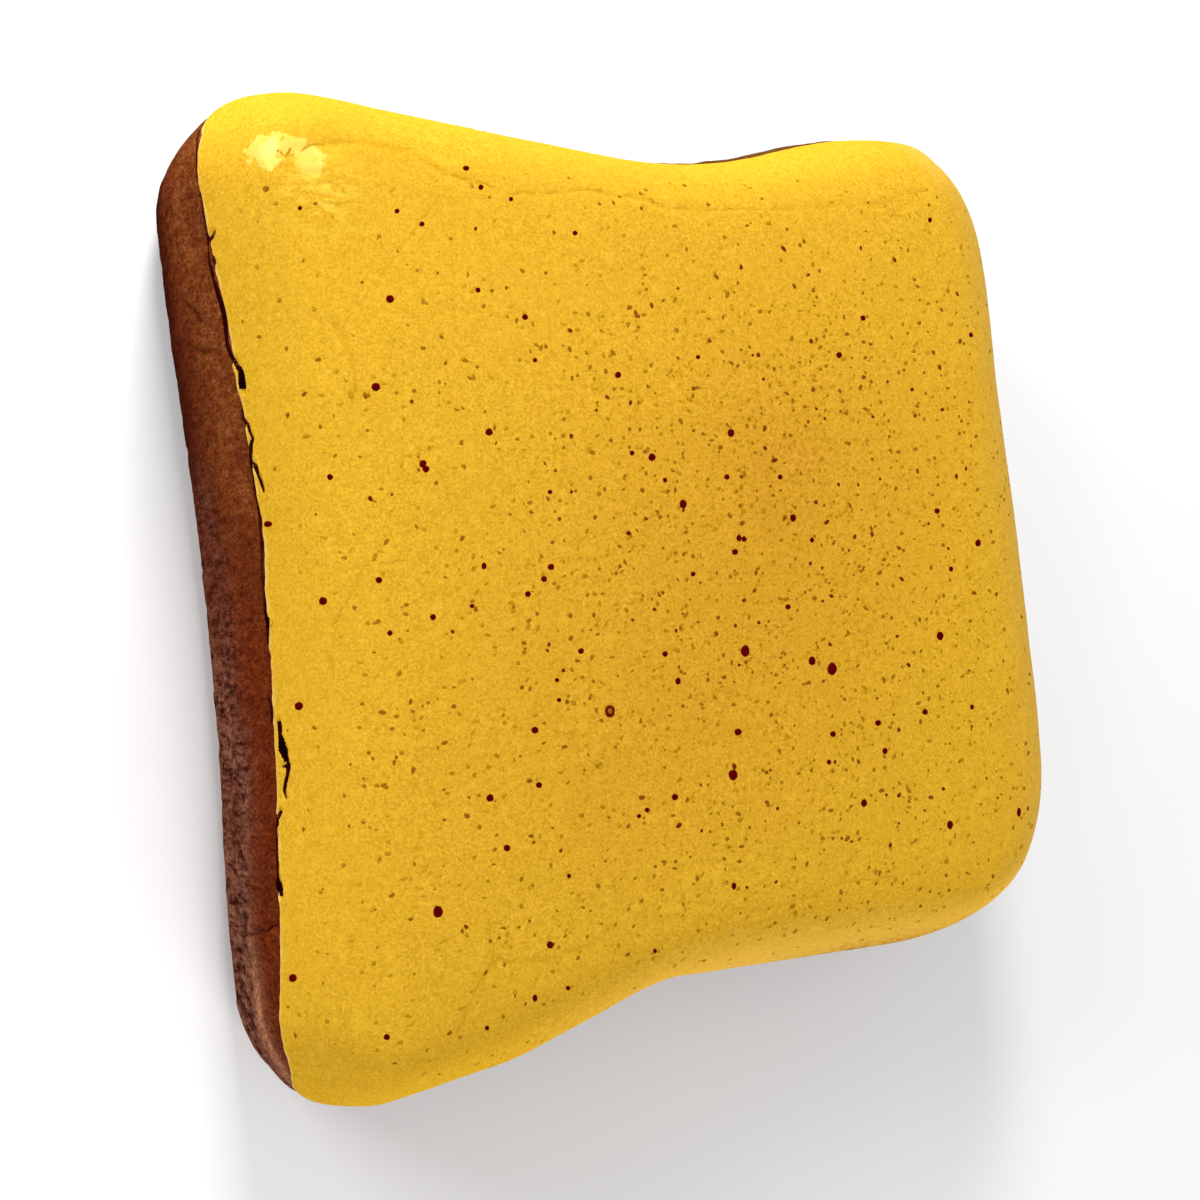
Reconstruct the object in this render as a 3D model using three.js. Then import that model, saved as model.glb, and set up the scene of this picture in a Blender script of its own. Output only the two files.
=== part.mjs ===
// A slice of cheese toast made as a soft foam toy, lying on its back with the yellow side up.
// Two layers: a brown bread body, and a yellow cheese layer that caps it and shows down to the seam.
// Units are millimetres. +Z points out of the yellow face, and the origin is the middle of the back.

import * as THREE from 'three';

// Outline of the slice at its widest, seen from above, counterclockwise from the top left.
// Each corner is where two straight runs of the side would meet, and radius rounds it off.
const CORNERS = [
  { x: -47.5, y: 50.7, radius: 9.6 },    // top left
  { x: -41.8, y: 0.2, radius: 240 },     // left waist, a long shallow hollow
  { x: -47.7, y: -51.5, radius: 10.5 },  // bottom left
  { x: -2.1, y: -43, radius: 54 },       // bottom waist
  { x: 46.3, y: -45.9, radius: 18.5 },   // bottom right
  { x: 46.1, y: -5.5, radius: 60 },      // right side, nearly straight
  { x: 43.5, y: 51.2, radius: 18.5 },    // top right
  { x: 5.5, y: 42.8, radius: 60 },       // top waist
];

// Heights above the back
const WIDEST_HEIGHT = 8.7;
const SEAM_HEIGHT = 18.1;
const SHOULDER_HEIGHT = 27.2;   // where the roll-over meets the upper face
const CROWN_HEIGHT = 28;        // middle of the slightly domed upper face

// Edges
const SHOULDER_INSET = 8.8;     // how far the roll-over reaches in from the outline
const BACK_EDGE_INSET = 3.8;    // rounding of the edge round the back
const BACK_EDGE_HEIGHT = 5.4;
const LAYER_GAP = 0.3;          // keeps the two layers clear of each other

// The bread's left side swells below the seam, so that its back has less of a waist
const LEFT_SWELL = 1.8;
const LEFT_SWELL_REACH = 35.7;  // from the middle to where the swelling gives way to a drawn-in corner

// Fineness of the mesh
const OUTLINE_POINTS = 168;
const BACK_EDGE_RINGS = 5;
const WALL_RINGS = 7;
const SHOULDER_RINGS = 9;
const FACE_RINGS = 8;

const CHEESE_COLOUR = 0xe6b32f;
const BREAD_COLOUR = 0x7a3f27;

// The two points where a fillet of the given radius leaves the straight runs beside a corner,
// with the fillet's centre. The radius is cut down where the runs are too short for it.
function filletAt(previous, corner, next) {
  const here = new THREE.Vector2(corner.x, corner.y);
  const toPrevious = new THREE.Vector2(previous.x, previous.y).sub(here);
  const toNext = new THREE.Vector2(next.x, next.y).sub(here);
  const shorterRun = Math.min(toPrevious.length(), toNext.length());
  toPrevious.normalize();
  toNext.normalize();
  const halfAngle = Math.acos(toPrevious.dot(toNext)) / 2;
  const longestSetback = 0.49 * shorterRun;
  const setback = Math.min(corner.radius / Math.tan(halfAngle), longestSetback);
  const radius = setback * Math.tan(halfAngle);
  const bisector = toPrevious.clone().add(toNext).normalize();
  const centre = here.clone().addScaledVector(bisector, radius / Math.sin(halfAngle));
  const start = here.clone().addScaledVector(toPrevious, setback);
  const end = here.clone().addScaledVector(toNext, setback);
  const turn = toNext.cross(toPrevious);
  return { centre, radius, start, end, clockwise: turn < 0 };
}

function outlineShape() {
  const shape = new THREE.Shape();
  CORNERS.forEach((corner, i) => {
    const previous = CORNERS.at(i - 1);
    const next = CORNERS[(i + 1) % CORNERS.length];
    const { centre, radius, start, end, clockwise } = filletAt(previous, corner, next);
    const startAngle = start.clone().sub(centre).angle();
    const endAngle = end.clone().sub(centre).angle();
    if (i === 0) {
      shape.moveTo(start.x, start.y);
    }
    shape.absarc(centre.x, centre.y, radius, startAngle, endAngle, clockwise);
  });
  shape.closePath();
  return shape;
}

// Evenly spaced points round the outline, each with its outward direction
function outlinePoints() {
  const points = outlineShape().getSpacedPoints(OUTLINE_POINTS).slice(0, OUTLINE_POINTS);
  return points.map((point, i) => {
    const before = points.at(i - 1);
    const after = points[(i + 1) % points.length];
    const along = after.clone().sub(before).normalize();
    return { x: point.x, y: point.y, outX: along.y, outY: -along.x };
  });
}

const outline = outlinePoints();

// How far the side lies in from the widest outline at a given height: quarter ellipses at both edges
function insetAt(height) {
  if (height >= WIDEST_HEIGHT) {
    const up = Math.min((height - WIDEST_HEIGHT) / (SHOULDER_HEIGHT - WIDEST_HEIGHT), 1);
    return SHOULDER_INSET * (1 - Math.sqrt(1 - up * up));
  }
  const down = Math.max((BACK_EDGE_HEIGHT - height) / BACK_EDGE_HEIGHT, 0);
  return BACK_EDGE_INSET * (1 - Math.sqrt(1 - down * down));
}

function swellAt(point, height) {
  const belowSeam = Math.max(1 - height / SEAM_HEIGHT, 0);
  const facingLeft = Math.max(-point.outX, 0);
  const middling = 1 - (point.y / LEFT_SWELL_REACH) ** 2;
  return LEFT_SWELL * belowSeam * facingLeft * middling;
}

// A closed ring of points at one height, moved in or out from the outline
function sideRing(height) {
  return outline.map((point) => {
    const out = swellAt(point, height) - insetAt(height);
    return [point.x + out * point.outX, point.y + out * point.outY, height];
  });
}

// The upper face: the shoulder ring drawn in towards the middle, rising to the crown
function faceRing(reach) {
  const rise = (CROWN_HEIGHT - SHOULDER_HEIGHT) * (1 - reach * reach) ** 2;
  return sideRing(SHOULDER_HEIGHT).map(([x, y]) => [x * reach, y * reach, SHOULDER_HEIGHT + rise]);
}

// Heights from low to high that crowd together towards the high end, as on a quarter turn
function quarterTurn(low, high, count) {
  const heights = [];
  for (let i = 1; i <= count; i += 1) {
    heights.push(low + (high - low) * Math.sin((i / count) * (Math.PI / 2)));
  }
  return heights;
}

function evenSteps(low, high, count) {
  const heights = [];
  for (let i = 1; i <= count; i += 1) {
    heights.push(low + ((high - low) * i) / count);
  }
  return heights;
}

// A closed solid from a stack of rings, lowest first, with a point in the middle of each end
function stackedSolid(rings, bottomHeight, topHeight) {
  const positions = rings.flat(2);
  const indices = [];
  const count = outline.length;
  for (let r = 0; r + 1 < rings.length; r += 1) {
    for (let i = 0; i < count; i += 1) {
      const j = (i + 1) % count;
      const low = r * count;
      const high = low + count;
      indices.push(low + i, low + j, high + j);
      indices.push(low + i, high + j, high + i);
    }
  }
  const bottomCentre = positions.length / 3;
  positions.push(0, 0, bottomHeight);
  const topCentre = bottomCentre + 1;
  positions.push(0, 0, topHeight);
  const lastRing = (rings.length - 1) * count;
  for (let i = 0; i < count; i += 1) {
    const j = (i + 1) % count;
    indices.push(bottomCentre, j, i);
    indices.push(topCentre, lastRing + i, lastRing + j);
  }
  const geometry = new THREE.BufferGeometry();
  geometry.setAttribute('position', new THREE.Float32BufferAttribute(positions, 3));
  geometry.setIndex(indices);
  geometry.computeVertexNormals();
  return geometry;
}

function breadGeometry() {
  const top = SEAM_HEIGHT - LAYER_GAP / 2;
  // The back edge's quarter turn is mirrored so that its rings crowd together at the back
  const backEdge = quarterTurn(BACK_EDGE_HEIGHT, 0, BACK_EDGE_RINGS).reverse();
  const wall = [BACK_EDGE_HEIGHT, ...evenSteps(BACK_EDGE_HEIGHT, top, WALL_RINGS)];
  return stackedSolid([...backEdge, ...wall].map(sideRing), 0, top);
}

function cheeseGeometry() {
  const bottom = SEAM_HEIGHT + LAYER_GAP / 2;
  const sides = [bottom, ...quarterTurn(bottom, SHOULDER_HEIGHT, SHOULDER_RINGS)].map(sideRing);
  const face = [];
  for (let i = 1; i < FACE_RINGS; i += 1) {
    face.push(faceRing(1 - i / FACE_RINGS));
  }
  return stackedSolid([...sides, ...face], bottom, CROWN_HEIGHT);
}

function namedMesh(name, geometry, color, roughness) {
  const material = new THREE.MeshStandardMaterial({ color, roughness, metalness: 0 });
  const mesh = new THREE.Mesh(geometry, material);
  mesh.name = name;
  return mesh;
}

const toast = new THREE.Group();
toast.add(namedMesh('bread', breadGeometry(), BREAD_COLOUR, 0.6));
toast.add(namedMesh('cheese', cheeseGeometry(), CHEESE_COLOUR, 0.4));

export default toast;
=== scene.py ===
"""Looks for the foam toy slice of cheese toast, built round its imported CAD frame.

The brown bread body and the yellow cheese layer are rebuilt as fine meshes on the same outline and
profile as the CAD solids, then wrinkled, creased and torn along the seam as in the photograph.
Lengths at the top are in millimetres, and go to metres as each mesh is made.
"""

import math
import random

import bpy
import numpy as np
from mathutils import Matrix, Vector, noise
from mathutils.bvhtree import BVHTree
from mathutils.kdtree import KDTree


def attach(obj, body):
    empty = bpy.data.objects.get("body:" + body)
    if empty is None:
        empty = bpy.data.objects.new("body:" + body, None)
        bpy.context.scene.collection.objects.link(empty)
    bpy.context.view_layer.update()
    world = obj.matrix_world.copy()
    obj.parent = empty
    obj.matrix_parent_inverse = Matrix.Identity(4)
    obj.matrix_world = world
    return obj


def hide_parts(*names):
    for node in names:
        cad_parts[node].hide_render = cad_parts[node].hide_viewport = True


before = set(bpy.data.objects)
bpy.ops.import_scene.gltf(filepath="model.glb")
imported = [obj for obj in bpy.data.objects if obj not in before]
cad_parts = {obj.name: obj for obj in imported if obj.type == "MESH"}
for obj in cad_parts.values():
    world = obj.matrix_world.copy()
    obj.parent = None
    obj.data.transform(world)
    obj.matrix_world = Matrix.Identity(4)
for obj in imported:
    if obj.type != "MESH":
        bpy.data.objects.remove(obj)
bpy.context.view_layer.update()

MM = 0.001

# ------------------------
# Form, the same as the CAD solids'

# Outline at the widest height, counterclockwise from the top left: x, y, radius
CORNERS = {
    "top_left": (-47.5, 50.7, 9.6),
    "left_waist": (-41.8, 0.2, 240),
    "bottom_left": (-47.7, -51.5, 10.5),
    "bottom_waist": (-2.1, -43, 54),
    "bottom_right": (46.3, -45.9, 18.5),
    "right_side": (46.1, -5.5, 60),
    "top_right": (43.5, 51.2, 18.5),
    "top_waist": (5.5, 42.8, 60),
}
WIDEST_HEIGHT = 8.7
SEAM_HEIGHT = 18.1
SHOULDER_HEIGHT = 27.2
CROWN_HEIGHT = 28
SHOULDER_INSET = 8.8
BACK_EDGE_INSET = 3.8
BACK_EDGE_HEIGHT = 5.4
LEFT_SWELL = 1.8
LEFT_SWELL_REACH = 35.7

# Cells across each mesh, which is a square grid drawn out to the outline
CHEESE_CELLS = 300
BREAD_CELLS = 280

# ------------------------
# Camera: how the photograph was taken, as turns of the toy in front of the lens

PHOTO_SIDE = 1200  # pixels
FOCAL_PIXELS = 1608
CAMERA_DISTANCE = 182.6
CAMERA_OFFSET = (-1.2, 2.45)  # of the toy's origin, sideways and upwards from the lens axis
TURN = math.radians(26.9)  # the toy's left edge comes nearer
TILT = math.radians(0.3)
ROLL = math.radians(5.4)
SENSOR_WIDTH = 36


def camera_from_toy():
    """Matrix from the toy's frame, in metres, to the camera's."""
    turned = Matrix.Rotation(ROLL, 4, "Z") @ Matrix.Rotation(TILT, 4, "X") @ Matrix.Rotation(TURN, 4, "Y")
    away = Matrix.Translation(Vector((*CAMERA_OFFSET, -CAMERA_DISTANCE)) * MM)
    return away @ turned


TOY_FROM_CAMERA = camera_from_toy().inverted()


# ------------------------
# Outline and profile

OUTLINE_SAMPLES = 4000
SIDES = 4


def way(value, start, end):
    """0 up to the start, 1 from the end on, and even between; the end can be the lower of the two."""
    return np.clip((value - start) / (end - start), 0, 1)


def lengths_along(points):
    """How far along a run of points each one lies."""
    return np.concatenate([[0], np.cumsum(np.hypot(*np.diff(points, axis=0).T))])


def read_at(target, along, points):
    """The points that lie at new lengths along a run of points."""
    return np.stack([np.interp(target, along, column) for column in points.T], axis=-1)


def fillet(previous, corner, following):
    """Points along the arc that rounds a corner, with the radius cut down where the runs are short."""
    before, here, after = (np.array(entry[:2]) for entry in (previous, corner, following))
    back = before - here
    ahead = after - here
    shorter_run = min(np.hypot(*back), np.hypot(*ahead))
    back = back / np.hypot(*back)
    ahead = ahead / np.hypot(*ahead)
    half_angle = math.acos(back @ ahead) / 2
    setback = min(corner[2] / math.tan(half_angle), 0.49 * shorter_run)
    radius = setback * math.tan(half_angle)
    bisector = (back + ahead) / np.hypot(*(back + ahead))
    centre = here + bisector * radius / math.sin(half_angle)
    start = here + back * setback - centre
    end = here + ahead * setback - centre
    first = math.atan2(start[1], start[0])
    sweep = (math.atan2(end[1], end[0]) - first + math.pi) % (2 * math.pi) - math.pi
    angles = first + sweep * np.linspace(0, 1, 40)
    return centre + radius * np.stack([np.cos(angles), np.sin(angles)], axis=1)


def outline_loop():
    """The outline as evenly spaced points from the middle of the top left corner and back to it, with
    outward normals, and where along it, from 0 to 1, the middles of the four convex corners lie."""
    values = list(CORNERS.values())
    arcs = []
    for i, corner in enumerate(values):
        arcs.append(fillet(values[i - 1], corner, values[(i + 1) % len(values)]))
    length = len(arcs[0])
    points = np.roll(np.concatenate(arcs), -(length // 2), axis=0)
    closed = np.concatenate([points, points[:1]])
    along = lengths_along(closed)
    along /= along[-1]
    # Every second corner of the outline is convex
    middles = [*along[:len(arcs) * length:2 * length], 1.0]
    loop = read_at(np.linspace(0, 1, OUTLINE_SAMPLES + 1), along, closed)
    # A light smoothing takes out the jumps in curvature where arcs meet straight runs
    width = 20
    kernel = np.hanning(2 * width + 1)
    kernel /= kernel.sum()
    ring = np.concatenate([loop[-width - 1:-1], loop[:-1], loop[:width]])
    smooth = np.stack([np.convolve(ring[:, axis], kernel, "valid") for axis in (0, 1)], axis=1)
    tangent = np.roll(smooth, -1, axis=0) - np.roll(smooth, 1, axis=0)
    tangent /= np.hypot(*tangent.T)[:, None]
    normal = np.stack([tangent[:, 1], -tangent[:, 0]], axis=1)
    return np.vstack([smooth, smooth[:1]]), np.vstack([normal, normal[:1]]), middles


LOOP, LOOP_NORMAL, CORNER_PLACES = outline_loop()


def on_outline(place):
    """Outline points and outward normals at places given as side number plus the share of that side."""
    target = np.interp(place, np.arange(SIDES + 1), CORNER_PLACES)
    along = np.linspace(0, 1, len(LOOP))
    normal = read_at(target, along, LOOP_NORMAL)
    return read_at(target, along, LOOP), normal / np.linalg.norm(normal, axis=-1, keepdims=True)


def inset_at(height):
    up = way(height, WIDEST_HEIGHT, SHOULDER_HEIGHT)
    down = way(height, BACK_EDGE_HEIGHT, 0)
    shoulder = SHOULDER_INSET * (1 - np.sqrt(1 - up * up))
    back_edge = BACK_EDGE_INSET * (1 - np.sqrt(1 - down * down))
    return shoulder + back_edge


def lip_at(height):
    """How far both layers turn in at the seam."""
    return SEAM_LIP * way(np.abs(height - SEAM_HEIGHT), SEAM_LIP_REACH, 0) ** 2


def swell_at(point, normal, height):
    below_seam = np.clip(1 - height / SEAM_HEIGHT, 0, None)
    facing_left = np.clip(-normal[..., 0], 0, None)
    return LEFT_SWELL * below_seam * facing_left * (1 - (point[..., 1] / LEFT_SWELL_REACH) ** 2)


# ------------------------
# Features placed by pixels of the photograph, in its 1200 by 1200 frame

# Creases in the yellow skin: places along each, and how strong it is
CREASES = [
    ([(286, 156), (312, 145), (340, 141), (379, 145), (417, 154), (446, 174), (473, 180), (507, 193)], 1),
    ([(507, 193), (542, 193), (582, 189), (620, 195), (645, 198), (666, 208), (702, 210), (745, 209)], 0.8),
    ([(745, 209), (795, 208), (841, 205), (883, 203), (901, 194), (941, 189)], 0.5),
    ([(302, 311), (340, 326), (348, 350), (356, 386), (350, 411)], 0.8),
    ([(440, 195), (418, 225), (394, 257), (363, 300), (340, 326)], 0.4),
    ([(428, 558), (363, 566), (354, 589), (333, 624), (332, 696)], 0.5),
    ([(487, 917), (494, 961), (475, 992), (462, 1022), (447, 1049)], 0.8),
    ([(494, 961), (547, 960), (572, 952), (606, 938)], 0.8),
    ([(692, 925), (729, 919), (737, 909), (766, 909), (798, 901), (848, 881), (911, 875), (934, 866)], 0.5),
    ([(566, 665), (552, 700), (510, 735)], 0.4),
]
# A broad fold along the first crease
FOLDS = [
    ([(280, 158), (295, 151), (312, 147), (330, 144), (352, 142)], 1),
]
# Wrinkles in the skin round the brightest highlight
WRINKLES = [
    ([(276, 152), (286, 156), (292, 148)], 1),
    ([(300, 172), (318, 176), (332, 171)], 0.8),
    ([(305, 187), (322, 184), (340, 188)], 1),
    ([(303, 196), (320, 197), (342, 194)], 0.9),
    ([(315, 207), (330, 205), (344, 208)], 0.7),
    ([(326, 158), (330, 170), (327, 180)], 0.8),
    ([(345, 160), (347, 172), (343, 184)], 0.7),
    ([(352, 180), (355, 195), (350, 210)], 0.5),
    ([(262, 178), (275, 186), (284, 197)], 0.5),
    ([(262, 135), (264, 145), (272, 150)], 0.4),
    ([(312, 130), (314, 140), (320, 147)], 0.9),
]
# Tears along the seam, drawn as dark strips of painted shade: x, y and width of each at places along it
TEARS = [
    [(199, 131, 1), (197, 140, 1.4), (196.5, 152, 1.5), (196.5, 165, 1.2), (197.5, 180, 0.9)],
    [(201, 195, 0.8), (203, 208, 1), (205, 222, 1), (207, 233, 1.6), (208, 239, 2.4), (208, 246, 1)],
    [(208, 252, 0.8), (209, 262, 1.8), (212, 272, 3), (213, 279, 2), (215, 284, 3.2), (219, 297, 3.8),
     (223, 310, 4.4), (225, 321, 4), (226, 334, 3.2), (227, 344, 3), (229, 351, 3.2),
     (233, 358, 4), (237, 365, 4.2), (241, 371, 5.6), (242, 379, 6.6), (242.5, 386, 7.8), (243, 388.5, 7.4)],
    [(209, 240, 2.4), (212, 238, 3), (215, 231, 1.4)],
    [(214, 259, 3), (215, 263, 3)],
    [(242, 410, 1.6), (243, 419, 2), (248, 424, 3), (250, 432, 2.6), (253, 438, 2.6), (251, 444, 3.6),
     (251, 456, 3.2), (251, 464, 2.4), (252, 472, 1.5)],
    [(252, 462, 2.4), (256, 467, 4.4), (258, 474, 2.4), (261, 481, 3.4), (264, 492, 1.6)],
    [(252, 472, 0.8), (253.5, 482, 0.9), (255, 496, 1), (258, 507, 1.8), (260, 520, 1.7), (260, 533, 1.2),
     (262, 543, 3), (261.5, 555, 0.9), (262, 577, 0.8), (264, 589, 1.2), (265, 609, 2.2), (266, 617, 3),
     (269, 622, 6.5), (268, 631, 3), (268, 643, 1.6)],
    [(269, 700, 1.4), (272, 708, 3), (273, 716, 3.2), (271, 722, 1.6)],
    [(279, 721, 3.4), (280, 728, 4.4), (280, 734, 3.4), (281.5, 741, 6.5), (283, 750, 9), (286, 759, 5.4),
     (288, 766, 5), (288, 773, 3), (285.5, 782, 3), (284.5, 790, 3), (286, 798, 1)],
    [(283, 766.5, 1.6), (288, 766, 4)],
    [(281, 811, 2.6), (278, 818, 2.6), (277, 839, 2.2), (277.5, 860, 2.2), (278.5, 874, 2.6),
     (279, 883, 6), (280.5, 890, 5.6), (281.5, 896, 3.4)],
]
# Wrinkles in the brown side: places along each, and how strong it is
BREAD_WRINKLES = [
    ([(178, 297), (186, 303), (196, 312), (199, 319), (208, 325)], 1),
    ([(178, 340), (190, 346), (204, 352), (222, 352)], 0.8),
    ([(181, 238), (189, 244), (197, 250)], 0.6),
    ([(172, 246), (178, 252), (183, 260)], 0.6),
    ([(203, 420), (214, 424), (222, 431)], 0.5),
    ([(176, 318), (184, 330), (190, 338)], 0.4),
    ([(171, 214), (180, 222), (186, 234)], 0.4),
    ([(243, 937), (256, 933), (266, 930), (277, 924)], 0.8),
    ([(236, 779), (243, 789), (250, 801)], 0.5),
]
# One of the brown side's cracks, a dark strip of painted shade as for the tears
BREAD_CRACKS = [
    [(244, 937, 0.8), (250, 934, 1.4), (256, 934, 1.2), (262, 930, 1.8), (268, 931, 1.4), (273, 926, 2),
     (278, 924, 1)],
]

# The largest drops of dark paint: x, y, width, and height where it differs
DROPS = [
    (832, 669, 10, 12.5), (438, 912, 10, 12), (745, 651, 9, 12), (733, 775, 9, 11), (812, 661, 7, 9),
    (940, 636, 7, 9), (376, 387, 8.5), (268, 524, 8.6, 6.3), (299, 706, 8.3), (323, 601, 8), (293, 978, 8),
    (390, 299, 8), (683, 504, 7, 9), (489, 432, 7.5), (490, 798, 7.5), (550, 945, 7.5), (423, 464, 7, 8),
    (426, 469, 7), (731, 433, 7, 8), (652, 457, 7, 7.5), (535, 730, 7), (738, 732, 7), (618, 375, 6.5),
    (551, 567, 6.5), (507, 848, 6.5), (675, 797, 6.5), (379, 580, 6.5), (466, 168, 6.5, 5),
    (793, 518, 6, 8), (864, 803, 6, 8), (950, 825, 6, 9), (1019, 812, 4, 9), (678, 681, 5.5, 7),
    (978, 543, 5.5, 7), (734, 886, 5, 7), (535, 998, 5, 7), (739, 538, 5, 7), (544, 579, 6), (528, 594, 6),
    (433, 617, 6), (330, 477, 6), (735, 552, 6), (581, 651, 6), (539, 785, 6), (833, 734, 6), (878, 723, 6),
    (925, 712, 6), (387, 1037, 6), (839, 355, 6), (525, 317, 6), (727, 477, 5.5), (744, 539, 5.5),
    (788, 607, 5.5), (937, 511, 5.5), (863, 318, 5.5), (390, 633, 5.5), (665, 654, 5.5), (885, 751, 5, 6.5),
    (397, 211, 5), (422, 224, 5), (481, 187, 5), (511, 199, 4.5), (575, 233, 5), (478, 290, 5),
    (535, 360, 4.5), (698, 357, 4.5), (930, 220, 4, 5), (971, 335, 4, 5), (550, 492, 4.5), (632, 453, 5),
    (665, 480, 4.5, 5), (484, 566, 5, 7), (472, 606, 4.5), (693, 574, 5), (780, 477, 5), (812, 540, 4.5, 5),
    (951, 569, 4.5, 5), (557, 680, 4.5), (559, 700, 4.5), (647, 810, 5), (639, 816, 4.5), (569, 876, 4.5),
    (655, 951, 4, 5), (568, 988, 4.5), (487, 1028, 4.5), (829, 762, 4.5, 5), (972, 707, 4, 5),
    (300, 208, 4.5),
]
# One drop has dried to a ring with a lighter middle
RING_DROP = (610, 711, 10, 12)


def hit(surface, x, y):
    """The place and normal on a surface under a pixel of the photograph."""
    half = PHOTO_SIDE / 2
    in_camera = Vector(((x - half) / FOCAL_PIXELS, (half - y) / FOCAL_PIXELS, -1))
    direction = (TOY_FROM_CAMERA.to_3x3() @ in_camera).normalized()
    place, normal, _, _ = surface.ray_cast(TOY_FROM_CAMERA.translation, direction)
    return place, normal


def drawn_line(surface, places, spacing=0.25):
    """Points on a surface, under a run of photograph pixels joined smoothly, about spacing mm apart."""
    places = np.array(places, dtype=float)
    along = lengths_along(places[:, :2])
    pixels_per_mm = FOCAL_PIXELS / CAMERA_DISTANCE
    count = max(int(along[-1] / (spacing * pixels_per_mm)), 4)
    line = []
    for values in read_at(np.linspace(0, along[-1], count), along, places).tolist():
        place, normal = hit(surface, *values[:2])
        if place is not None:
            line.append((place, normal, *values))
    return line


# ------------------------
# Fine meshes of the two layers

SEAM_GAP = 0.02  # left open between the layers
SEAM_LIP = 0.10  # how far both edges turn in at the seam
SEAM_LIP_REACH = 0.7
LEDGE = 1.6  # depth of the slit between the layers
SHOULDER_SHARE = 0.633  # share of the cheese grid's reach that its face takes
SOFTENED_FROM = 0.8  # heights above the seam where softening of the roll-over sets in
SOFTENED_UP_TO = 4.8  # and is full
SOFTENING_ROUNDS = 120
BACK_SHARE = 0.5  # share of the bread grid's reach that its back takes


def square_grid(cells):
    """For a square grid: how far each vertex is from the middle, 0 to 1, and its place round the sides."""
    line = np.linspace(-1, 1, cells + 1)
    x, y = np.meshgrid(line, line)
    reach = np.maximum(np.abs(x), np.abs(y))
    span = np.where(reach > 0, 2 * reach, 1)
    nearly = reach - 1e-9
    sides = [x <= -nearly, y <= -nearly, x >= nearly, y >= nearly]
    places = [(reach - y) / span, 1 + (x + reach) / span, 2 + (y + reach) / span, 3 + (reach - x) / span]
    place = np.select(sides, places)
    return reach.ravel(), place.ravel()


def waves(places, scale, seed, octaves=3):
    """Smooth noise of about -1 to 1 at each place, with features about scale across."""
    shift = Vector((seed * 17.3, seed * 5.1, seed * 9.7))
    return np.array([noise.fractal(Vector(place) / scale + shift, 0.9, 2.0, octaves) for place in places])


# How far the seam lies above its height: place round the sides, rise in mm
SEAM_RISES = [(0, -1.8), (0.012, -1.4), (0.03, -0.3), (0.05, 0), (0.1, 0.25), (0.13, 0.1), (0.25, 0.1),
              (0.262, -0.55), (0.283, -0.55), (0.3, 0), (0.34, -0.1),
              (0.43, 0.1), (0.48, -0.6), (0.6, -0.9), (0.66, -0.6), (0.7, -0.6), (0.76, -0.2),
              (0.84, 0.1), (0.94, 0), (0.96, -0.8), (0.98, -2.5), (1.01, -3.2), (1.06, -1.6), (1.2, -0.2),
              (3.85, 0), (3.93, -0.4), (3.97, -1.2), (4, -1.8)]


def seam_wobble(place):
    """How far the seam strays from its height, at places round the outline."""
    around = place * math.pi / 2
    circle = np.stack([np.cos(around), np.sin(around), np.zeros_like(around)], axis=-1) * 55
    slow = waves(circle, 16, 3, 2) * 0.15
    ragged = waves(circle, 1.1, 4, 3) * 0.14
    return slow + ragged + np.interp(place, *zip(*SEAM_RISES))


# Pushes on the sides of both layers: place round the sides, height, reach along and up, amount in mm
SIDE_PUSHES = [
    (3.35, 19, 0.16, 5, -0.32), (3.93, 19, 0.04, 7, -0.35), (3.13, 18, 0.05, 8, -0.45),
    (3.01, 18, 0.045, 8, 1.15), (2.955, 21, 0.05, 8, 0.85), (2.8, 23, 0.1, 7, 0.4),
    (2.25, 23, 0.12, 7, 0.4), (1.99, 23, 0.04, 7, 0.9), (1.86, 16, 0.05, 8, -0.45),
    (1.43, 17, 0.06, 8, -1), (1.25, 17, 0.06, 8, 0.6), (1.115, 17, 0.03, 8, -0.35),
    (1.06, 15, 0.035, 9, -0.45), (0.995, 15, 0.025, 9, 0.3),
]
# The same for the cheese alone, and for the bread alone
CHEESE_PUSHES = [(3.985, 16.5, 0.04, 3.5, 0.05)]
BREAD_PUSHES = [
    (3.975, 9, 0.03, 9, -0.15), (4.005, 9, 0.02, 9, -0.15), (3.2, 16.6, 0.05, 2, -0.12),
    (1.75, 12, 0.15, 6, -0.3), (3.345, 17, 0.008, 1.2, 0.16), (0.62, 11, 0.07, 3, 0.2),
    (0.3, 12, 0.06, 3, -0.15), (0.89, 8, 0.08, 7, -0.8), (0.69, 8, 0.1, 6, -0.4),
    (0.24, 8, 0.11, 6, 0.2),
]


def push_at(place, height, pushes):
    total = np.zeros_like(height)
    for around, up, reach_around, reach_up, amount in pushes:
        along = (place - around + SIDES / 2) % SIDES - SIDES / 2
        total += amount * np.exp(-(along / reach_around) ** 2 - ((height - up) / reach_up) ** 2)
    return total


def by_length(insets, heights, shares):
    """Points of a profile at even shares of its length."""
    profile = np.column_stack([insets, heights])
    along = lengths_along(profile)
    return read_at(shares * along[-1], along, profile).T


def cheese_points():
    """The yellow layer's grid, and each vertex's height above the seam. The roll-over is softened a little
    from the CAD's, whose shoulder is tight at the corners."""
    reach, place = square_grid(CHEESE_CELLS)
    points = cheese_surface(reach, place)
    seam = cheese_surface(np.ones_like(reach), place)[:, 2]
    share = way(points[:, 2] - seam, SOFTENED_FROM, SOFTENED_UP_TO)
    points = softened(points, CHEESE_CELLS, share * share * (3 - 2 * share))
    return points, points[:, 2] - seam


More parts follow.
